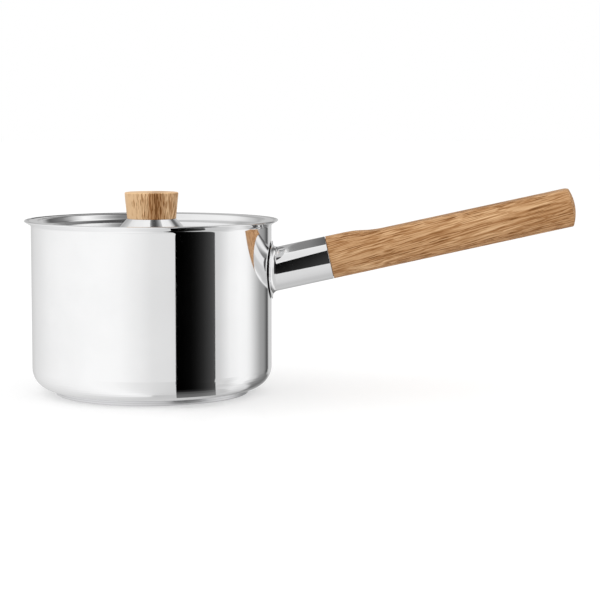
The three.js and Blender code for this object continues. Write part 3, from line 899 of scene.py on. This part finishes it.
aluminium = ringed_metal(
    "aluminium_core",
    fineness=700.0,
    dark=(0.68, 0.68, 0.69),
    light=(0.82, 0.82, 0.83),
    roughness=(0.4, 0.55),
    depth=0.00005,
)
dress(aluminium, nodes["base_core"])
brass = ringed_metal(
    "insert_brass",
    fineness=2200.0,
    dark=(0.5, 0.34, 0.12),
    light=(0.72, 0.53, 0.23),
    roughness=(0.25, 0.4),
    depth=0.00002,
)
dress(brass, nodes["grip_insert"], nodes["knob_insert"])

silicone, tree, shader, where = new_finish("gasket_silicone")
speckle = noise(tree, where, SPECKLE_SCALE, 3.0)
tree.links.new(tint(tree, speckle, SILICONE_TONES), shader["Base Color"])
tree.links.new(spread(tree, speckle, *NOISE_RANGE, *SILICONE_ROUGH), shader["Roughness"])
add_bump(tree, shader, speckle, SPECKLE_DEPTH)
dress(silicone, nodes["collar_gasket"])

# %% [markdown]
# ## Oak
#
# Oak shows four sizes of figure: broad, soft bands from the growth rings, narrower streaks in them, fine
# fibres along the grain, and short dark dashes where pores are cut open. Each is a noise that is drawn out
# along the grain, which is the first axis of the group's Vector. The pores gather in the darker bands, as in
# the real wood, and sink into the surface. Grip and knob use the same group, each with its own Mapping node,
# because the grain runs along the grip and up through the knob.

# %% Oak group
# each noise's scale along the grain, scale across it, detail and roughness
OAK_NOISES = {
    "band": (6.0, 130.0, 2.0, 0.5),
    "streak": (9.5, 430.0, 2.0, 0.6),
    "fibre": (26.0, 1350.0, 1.0, 0.5),
    "pore": (95.0, 1400.0, 1.0, 0.4),
}
SWAY = (0.0, 0.0008, 0.0008)  # metres
SWAY_SCALES = (14.0, 40.0, 40.0)
# the values of a noise at which each begins and is full
EARLY_BANDS = (0.62, 0.4)
DARK_FIBRES = (0.56, 0.36)
OPEN_PORES = (0.53, 0.63)
LATE_PORES = 0.35  # the share of pores left outside the early bands
# a base for tone, roughness and height, and what each size of figure adds to it
BASE_TONE, BAND_TONE, STREAK_TONE, FIBRE_TONE, PORE_TONE = 0.255, 0.55, 0.5, -0.5, -0.5
BASE_ROUGH, FIBRE_ROUGH, PORE_ROUGH = 0.4, 0.16, 0.2
FIBRE_RISE, PORE_RISE = 0.5, -1.0
OAK_TONES = [
    (0.0, (0.2, 0.082, 0.022)),
    (0.2, (0.31, 0.137, 0.046)),
    (0.4, (0.42, 0.208, 0.084)),
    (0.55, (0.485, 0.258, 0.112)),
    (0.75, (0.575, 0.328, 0.16)),
    (1.0, (0.86, 0.575, 0.325)),
]

oak, given, results = new_group(
    "oak_figure",
    {"Vector": VECTOR, "Shade": FLOAT},
    {"Color": COLOUR, "Roughness": FLOAT, "Height": FLOAT},
)
grain = given["Vector"]
sway_inputs = {"Vector": stretch(oak, grain, SWAY_SCALES), "Detail": 1.0}
sway = place_node(oak, "ShaderNodeTexNoise", sway_inputs).outputs["Color"]
sway_terms = {0: sway, 1: SWAY, 2: grain}
swayed = place_node(oak, "ShaderNodeVectorMath", sway_terms, operation="MULTIPLY_ADD").outputs[0]
band, streak, fibre, pore = (
    noise(oak, stretch(oak, swayed, (along_it, across_it, across_it)), 1.0, detail, roughness)
    for along_it, across_it, detail, roughness in OAK_NOISES.values()
)
early = spread(oak, band, *EARLY_BANDS)
lines = spread(oak, fibre, *DARK_FIBRES)
pore_share = reckon(oak, "MULTIPLY_ADD", early, 1.0 - LATE_PORES, LATE_PORES)
pores = reckon(oak, "MULTIPLY", spread(oak, pore, *OPEN_PORES), pore_share)
figure = BASE_TONE
for part, weight in ((band, BAND_TONE), (streak, STREAK_TONE), (lines, FIBRE_TONE), (pores, PORE_TONE)):
    figure = reckon(oak, "MULTIPLY_ADD", part, weight, figure)
figure = reckon(oak, "SUBTRACT", figure, given["Shade"])
oak.links.new(tint(oak, figure, OAK_TONES), results["Color"])
dullness = reckon(oak, "MULTIPLY_ADD", fibre, FIBRE_ROUGH, BASE_ROUGH)
oak.links.new(reckon(oak, "MULTIPLY_ADD", pores, PORE_ROUGH, dullness), results["Roughness"])
relief = reckon(oak, "MULTIPLY", fibre, FIBRE_RISE)
oak.links.new(reckon(oak, "MULTIPLY_ADD", pores, PORE_RISE, relief), results["Height"])
print("group", oak.name)

# %% [markdown]
# The grip's Mapping turns the pattern by the handle's tilt and a little more, because the blank was sawn at a
# small angle to the grain. The knob's turns it upright. The knob was cut where a darker streak of heartwood
# runs up through it: the Shade input darkens a soft band across X for the streak, and it lightens the left
# side and the turned top as painted highlight.

# %% Oak on grip and knob
GRAIN_SLANT = np.radians(4.5)
OAK_RELIEF = 0.00012  # metres
OAK_GLOSS = 0.12
KNOB_BLANK = (0.013, 0.02, 0.04)  # the place in the pattern that the knob is cut from
HEART_PLACE, HEART_REACH, HEART_SHADE = 0.004, 0.0085, 0.52
# painted highlight from two places in metres and the shade taken off: X on the left side, Z on the top
PAINTED_SIDE_LIGHT = (0.002, -0.012, 0.31, 0.84)
PAINTED_TOP_LIGHT = ((knob_high[2] - 0.5) * MM, knob_high[2] * MM, 0.0, 0.4)


def oak_finish(name, turn, place, shade_of=None):
    """Oak with its grain turned and moved by a Mapping node, darkened by an optional shade."""
    material, tree, shader, where = new_finish(name)
    mapping = {"Vector": where, "Location": place, "Rotation": turn}
    along_grain = place_node(tree, "ShaderNodeMapping", mapping, vector_type="POINT").outputs[0]
    shade = shade_of(tree, where) if shade_of else 0.0
    wood = grouped(tree, oak, {"Vector": along_grain, "Shade": shade})
    tree.links.new(wood["Color"], shader["Base Color"])
    tree.links.new(wood["Roughness"], shader["Roughness"])
    add_bump(tree, shader, wood["Height"], OAK_RELIEF)
    shader["Specular IOR Level"].default_value = OAK_GLOSS
    return material


def heart_streak_and_painted_light(tree, where):
    """Shade: a dark heartwood streak by the middle, and painted highlight on the left and the top."""
    place = place_node(tree, "ShaderNodeSeparateXYZ", {0: where}).outputs
    beside = reckon(tree, "ABSOLUTE", reckon(tree, "SUBTRACT", place["X"], HEART_PLACE))
    dark = spread(tree, beside, 0.0, HEART_REACH, HEART_SHADE, 0.0)
    # painted highlight: the left side and the turned top are lighter, as if lit from the left and from above
    painted_side_light = spread(tree, place["X"], *PAINTED_SIDE_LIGHT)
    painted_top_light = spread(tree, place["Z"], *PAINTED_TOP_LIGHT)
    return reckon(tree, "SUBTRACT", reckon(tree, "SUBTRACT", dark, painted_side_light), painted_top_light)


oak_grip = oak_finish("oak_grip", (0.0, HANDLE_TILT + GRAIN_SLANT, 0.0), (0.0, 0.0, 0.0))
dress(oak_grip, grip)
oak_knob = oak_finish("oak_knob", (0.0, np.pi / 2, 0.0), KNOB_BLANK, heart_streak_and_painted_light)
dress(oak_knob, knob)

# %% [markdown]
# ## Studio
#
# The pan stands on a white floor that runs into a white background. The floor is a matt white with a little
# glow of its own for the camera, so that it stays white and still takes the soft shadow under the pan, and
# it mirrors the pan very faintly, as a glossy acrylic sheet does. The steel doesn't mirror the floor itself,
# but the room that comes next.

# %% Floor
FLOOR_HALF = 9000.0
FLOOR_DROP = 0.05
FLOOR_MIRROR = 0.04
FLOOR_MIRROR_ROUGH = 0.08
FLOOR_ROUGH = 0.9
FLOOR_GLOW = 0.2
FLOOR_MOTTLE = 3.0
FLOOR_TONES = [(0.3, (0.875, 0.875, 0.875)), (0.7, (0.895, 0.895, 0.895))]


def quad(x_range, y_range, z):
    """Corners of a level rectangle, anticlockwise as seen from above."""
    (left, right), (front, back) = x_range, y_range
    return [(left, front, z), (right, front, z), (right, back, z), (left, back, z)]


reach = (-FLOOR_HALF, FLOOR_HALF)
floor = add_object("studio_floor", quad(reach, reach, -FLOOR_DROP), [(0, 1, 2, 3)])
floor.visible_glossy = False
floor_white, tree, shader, where = new_finish("floor_white")
mottle = noise(tree, where, FLOOR_MOTTLE)
tree.links.new(tint(tree, mottle, FLOOR_TONES), shader["Base Color"])
shader["Roughness"].default_value = FLOOR_ROUGH
shader["Specular IOR Level"].default_value = 0.0
seen = place_node(tree, "ShaderNodeLightPath", {}).outputs["Is Camera Ray"]
tree.links.new(reckon(tree, "MULTIPLY", seen, FLOOR_GLOW), shader["Emission Strength"])
shader["Emission Color"].default_value = WHITE
mirror = place_node(tree, "ShaderNodeBsdfGlossy", {"Color": WHITE, "Roughness": FLOOR_MIRROR_ROUGH})
matt = tree.nodes["Principled BSDF"].outputs[0]
both = place_node(tree, "ShaderNodeMixShader", {0: FLOOR_MIRROR, 1: matt, 2: mirror.outputs[0]})
tree.links.new(both.outputs[0], tree.nodes["Material Output"].inputs["Surface"])
dress(floor_white, floor)

# %% [markdown]
# ## What the steel sees
#
# A mirror finish has no colour of its own: without a room to reflect, it would be as white as the background.
# So the world is plain white for the camera and for soft light, and for reflections it is a studio: white in
# front and at the sides, greyer round the back, with a dark seam far behind on the right. It is made of rings
# from the floor to the ceiling. Each is a ramp of greys round the compass, and the height above the horizon
# blends one ring into the next.

# %% World
SOFT_LIGHT = 0.95
LOW_FRONT = [(-60, 1.0), (-35, 0.97), (-12, 0.85), (8, 0.75), (25, 0.69)]  # shared by the three low rings
# the rings of the room, each from one height above the horizon to another in degrees, with the greys seen
# there by compass bearing: 0 is towards the camera, and positive is to its right
ROOM = {
    "floor": ((-90.0, -52.0), [
        (-180, 0.6), (-120, 0.84), (-93, 0.94), *LOW_FRONT, (66, 0.62), (110, 0.58), (145, 0.56), (180, 0.6),
    ]),
    "far floor": ((-46.0, -37.0), [
        (-180, 0.65), (-120, 0.84), (-93, 0.94), *LOW_FRONT, (66, 0.62), (80, 0.62), (92, 0.66), (101, 0.72),
        (112, 0.88), (127, 0.81), (148, 0.68), (165, 0.5), (180, 0.6),
    ]),
    "skirting": ((-31.0, -16.0), [
        (-180, 0.45), (-170, 0.66), (-150, 0.74), (-120, 0.86), (-93, 0.95), *LOW_FRONT, (66, 0.64),
        (78, 0.7), (84, 0.7), (90, 0.84), (97, 0.98), (112, 0.98), (118, 0.78), (126, 0.6), (133, 0.34),
        (138, 0.275), (145, 0.225), (154, 0.17), (160, 0.18), (166, 0.28), (173, 0.37), (180, 0.45),
    ]),
    "horizon": ((-11.0, -2.0), [
        (-180, 0.62), (-157, 0.65), (-143, 0.75), (-130, 0.81), (-109, 0.92), (-93, 0.96), (-60, 1.0),
        (-40, 1.0), (-26, 0.98), (-7, 0.88), (4, 0.8), (20, 0.78), (66, 0.64), (72, 0.7), (83, 0.92),
        (96, 1.0), (105, 0.98), (111, 0.885), (122, 0.58), (130, 0.38), (140, 0.3), (147, 0.1), (151, 0.1),
        (154, 0.6), (162, 0.66), (180, 0.62),
    ]),
    "walls": ((12.0, 36.0), [
        (-180, 0.4), (-162, 0.45), (-149, 0.44), (-139, 0.54), (-129, 0.64), (-119, 0.77), (-108, 0.87),
        (-97, 0.93), (-74, 0.92), (-48, 0.86), (0, 0.9), (60, 0.9), (77, 0.8), (84, 1.0), (92, 1.0),
        (101, 0.75), (112, 0.42), (122, 0.22), (133, 0.16), (143, 0.12), (148, 0.2), (154, 0.42), (163, 0.58),
        (172, 0.5), (180, 0.4),
    ]),
    "lamps": ((42.0, 68.0), [
        (-180, 0.15), (-172, 0.4), (-152, 0.55), (-142, 0.7), (-126, 0.8), (-105, 0.9), (-61, 0.9),
        (-35, 0.85), (0, 0.8), (18, 0.4), (30, 0.21), (48, 0.24), (60, 0.42), (70, 0.65), (80, 0.85),
        (95, 0.95), (122, 0.88), (132, 0.5), (141, 0.12), (150, 0.02), (166, 0.02), (180, 0.15),
    ]),
    "ceiling": ((75.0, 90.0), [(-180, 0.93), (180, 0.93)]),
}

world = bpy.data.worlds.new("studio")
bpy.context.scene.world = world
world.use_nodes = True
tree = world.node_tree
tree.nodes.clear()
heading = place_node(tree, "ShaderNodeTexCoord", {}).outputs["Generated"]
parts = place_node(tree, "ShaderNodeSeparateXYZ", {0: heading}).outputs
to_camera = reckon(tree, "MULTIPLY", parts["Y"], -1.0)
bearing = reckon(tree, "ARCTAN2", parts["X"], to_camera)
turn_share = reckon(tree, "MULTIPLY_ADD", bearing, 1 / (2 * np.pi), 0.5)
climb = reckon(tree, "DEGREES", reckon(tree, "ARCSINE", parts["Z"]))
room, below = None, None
for (foot_height, head_height), greys in ROOM.values():
    ring = grey_ramp(tree, turn_share, greys, -180, 180)
    room = mixed(tree, spread(tree, climb, below, foot_height), room, ring) if room else ring
    below = head_height
paths = place_node(tree, "ShaderNodeLightPath", {}).outputs
plain_level = spread(tree, paths["Is Camera Ray"], 0.0, 1.0, SOFT_LIGHT, 1.0)
plain = place_node(tree, "ShaderNodeBackground", {"Color": WHITE, "Strength": plain_level})
reflected = place_node(tree, "ShaderNodeBackground", {"Color": room, "Strength": 1.0})
sky = place_node(
    tree, "ShaderNodeMixShader", {0: paths["Is Glossy Ray"], 1: plain.outputs[0], 2: reflected.outputs[0]}
)
place_node(tree, "ShaderNodeOutputWorld", {"Surface": sky.outputs[0]})
print("world", world.name, "rings", list(ROOM))

# %% [markdown]
# ## Dark cards
#
# Photographers stand a black card beside shiny metal, because a dark reflection gives it an edge. Here it
# stands close in front of the handle's root. Its left part reaches the floor, its right part hangs clear of
# it, and its foot is folded along the floor towards the pan. The round wall squeezes it to the upright strip
# right of the middle, the fold carries the strip on down the bend of the pot, and the ferrule stretches the
# card to a long dark band. The card fades to grey at its right end and where the fold nears the base. A
# second card hangs high above, behind the lid, and draws a soft dark band on the knob's collar and along the
# ferrule's top. Only reflections see the cards, from the side that faces the pan.

# %% Dark cards
CARD_LEFT, CARD_FOLD, CARD_RIGHT, CARD_Y = 41.5, 87.0, 166.0, -120.0  # it stands left of CARD_FOLD
CARD_HANG = 36.0  # lower edge of the right part
CARD_TOPS = (108.0, 307.0)  # at the left and the right end
CARD_GREYS = [
    (0.0, 0.0), (0.09, 0.0003), (0.22, 0.002), (0.3, 0.005), (0.39, 0.011), (0.49, 0.02), (0.61, 0.035),
    (0.76, 0.052), (1.0, 0.085),
]
FENCE_HEIGHT = 95.0
FOLD_DIPS = np.radians([52.0, 44.0, 36.0, 29.0, 23.0, 18.0, 13.0, 10.0, 7.5])  # of the bend, row by row
FOLD_FADE = (0.088, 0.074, 0.0, 0.15)  # two distances from the pot's axis in metres, the grey added there
HIGH_CARD = ((-20.0, 190.0), (-85.0, 1500.0), 560.0)
HIGH_CARD_GREYS = [
    (0.0, 0.26), (0.1, 0.23), (0.18, 0.11), (0.45, 0.07), (0.62, 0.15), (0.79, 0.32), (1.0, 0.62),
]


def dark_card(name, points, faces, shares, greys):
    """Stage object from points in millimetres that only reflections see.

    shares holds a number per point, kept as the attribute share, and greys is the ramp it runs along.
    Returns its node tree, its Object coordinates and the socket with the grey, which show_grey puts to use.
    """
    card = add_object(name, points, faces)
    add_mark(card.data, "share", shares)
    for ray in ("camera", "diffuse", "transmission", "volume_scatter", "shadow"):
        setattr(card, f"visible_{ray}", False)
    material, tree, _, where = new_finish(name)
    dress(material, card)
    return tree, where, grey_ramp(tree, mark_value(tree, "share"), greys)


def show_grey(tree, grey):
    """Emission of a grey from the front of a face, and nothing from behind."""
    dark = place_node(tree, "ShaderNodeEmission", {"Strength": grey}).outputs[0]
    clear = place_node(tree, "ShaderNodeBsdfTransparent", {}).outputs[0]
    behind = place_node(tree, "ShaderNodeNewGeometry", {}).outputs["Backfacing"]
    shown = place_node(tree, "ShaderNodeMixShader", {0: behind, 1: dark, 2: clear})
    tree.links.new(shown.outputs[0], tree.nodes["Material Output"].inputs["Surface"])


def mirrored(sight, normal):
    """Sight line d after a mirror with the unit normal n: d - 2 (d n) n."""
    return sight - 2 * np.sum(sight * normal, axis=-1, keepdims=True) * normal


def wall_sight(angle):
    """Plan of the camera's sight lines after the wall: where they leave it, R n, and their heading."""
    normal = np.stack([np.sin(angle), -np.cos(angle)], axis=-1)
    return POT_RADIUS * normal, mirrored(POT_RADIUS * normal - np.array(CAMERA_PLACE[:2]), normal)


def floor_sight(across, dip):
    """Plan of the floor points that the camera sees in the pot's bend, where its normal n dips by an angle.

    A place on the bend is P = (x, -r cos a, z) with r sin a = x, the distance across. Its sight line s meets
    the floor at P - (P_z / s_z) s.
    """
    radius = POT_RADIUS - POT_BEND * (1 - np.cos(dip))
    angle = np.arcsin(across / radius)
    height = np.full_like(across, pot_underside + POT_BEND * (1 - np.sin(dip)))
    place = np.stack([across, -radius * np.cos(angle), height], axis=-1)
    level, down = np.cos(dip), np.full_like(across, -np.sin(dip))
    normal = np.stack([level * np.sin(angle), -level * np.cos(angle), down], axis=-1)
    sight = mirrored(place - np.array(CAMERA_PLACE), normal)
    return (place - place[:, 2:] / sight[:, 2:] * sight)[:, :2]


# %% [markdown]
# The fold is laid out along the camera's sight lines, mirrored by the wall and by the bend below it, so that
# the strip runs straight down from one to the other in the same greys. Each line runs from under the base to
# the card, or to a fence that closes the fold where the card only hangs. The share of a point is the place
# across the card that its line would reach.

# %% Front card
WALL_SEARCH = np.radians([10.0, 40.0])  # the strip lies between these angles on the wall
SEARCH_STEPS = 301
PART_LINES = 8  # sight lines to each of the card's two parts

fine = np.linspace(*WALL_SEARCH, SEARCH_STEPS)
leave, heading = wall_sight(fine)
reached = leave[:, 0] + (CARD_Y - leave[:, 1]) / heading[:, 1] * heading[:, 0]
left, fold, right = np.interp((CARD_LEFT, CARD_FOLD, CARD_RIGHT), reached, fine)
lines = np.concatenate([np.linspace(left, fold, PART_LINES), np.linspace(fold, right, PART_LINES)[1:]])
leave, heading = wall_sight(lines)
to_card = (CARD_Y - leave[:, 1]) / heading[:, 1]
to_fence = (CARD_FOLD - leave[:, 0]) / heading[:, 0]
ends = leave + np.minimum(to_card, to_fence)[:, None] * heading
line_shares = (leave[:, 0] + to_card * heading[:, 0] - CARD_LEFT) / (CARD_RIGHT - CARD_LEFT)
count, left_top, right_top = len(lines), *CARD_TOPS
card_outline = np.array([
    (CARD_RIGHT, CARD_Y, CARD_HANG),
    (CARD_FOLD, CARD_Y, CARD_HANG),
    (CARD_FOLD, CARD_Y, 0.0),
    (CARD_LEFT, CARD_Y, 0.0),
    (CARD_LEFT, CARD_Y, left_top),
    (CARD_RIGHT, CARD_Y, right_top),
])
outline_shares = (card_outline[:, 0] - CARD_LEFT) / (CARD_RIGHT - CARD_LEFT)
plans = [(floor_sight(leave[:, 0], dip), 0.0) for dip in FOLD_DIPS] + [(ends, 0.0), (ends, FENCE_HEIGHT)]
rows = [np.column_stack([plan, np.full(count, height)]) for plan, height in plans]
cells = grid_quads(len(rows), count)[..., [0, 3, 2, 1]]  # the other way round, to face the pan
fold_cells, fence_cells = cells[:-1].reshape(-1, 4), cells[-1, PART_LINES - 1:]
outline_face = count * len(rows) + np.arange(len(card_outline))
card_faces = [*fold_cells.tolist(), *fence_cells.tolist(), outline_face.tolist()]
card_points = np.vstack([*rows, card_outline])
card_shares = np.concatenate([np.tile(line_shares, len(rows)), outline_shares])
tree, where, grey = dark_card("front_card", card_points, card_faces, card_shares, CARD_GREYS)
fade = spread(tree, axis_distance(tree, where), *FOLD_FADE)
show_grey(tree, reckon(tree, "ADD", grey, fade))

# %% High card
high_shares = (0.0, 1.0, 1.0, 0.0)
tree, _, grey = dark_card("high_card", quad(*HIGH_CARD), [(3, 2, 1, 0)], high_shares, HIGH_CARD_GREYS)
show_grey(tree, grey)

# %% [markdown]
# ## Key light
#
# One large, soft lamp from the upper left gives the oak its shape. It is weak and casts no shadow: the white
# world already lights everything and lays a soft shadow under the pan, and a colour should come out about as
# it is written.

# %% Key light
KEY_PLACE = (-700.0, -900.0, 1150.0)
KEY_AIM = (60.0, 0.0, 80.0)
KEY_SIZE = 1200.0
KEY_POWER = 4.0  # watts

key_data = bpy.data.lights.new("key_light", "AREA")
key_data.shape = "SQUARE"
key_data.size = KEY_SIZE * MM
key_data.energy = KEY_POWER
key = bpy.data.objects.new("key_light", key_data)
key.location = np.array(KEY_PLACE) * MM
aim = mathutils.Vector(KEY_AIM) * MM - key.location
key.rotation_euler = aim.to_track_quat("-Z", "Y").to_euler()
key.visible_glossy = False
key_data.use_shadow = False
bpy.context.scene.collection.objects.link(key)
print("key light", KEY_POWER, "W from", KEY_PLACE)

# %% [markdown]
# ## Finish
#
# The picture is shown with the Standard view transform, so that white stays white.

# %% Finish
bpy.context.scene.view_settings.view_transform = "Standard"
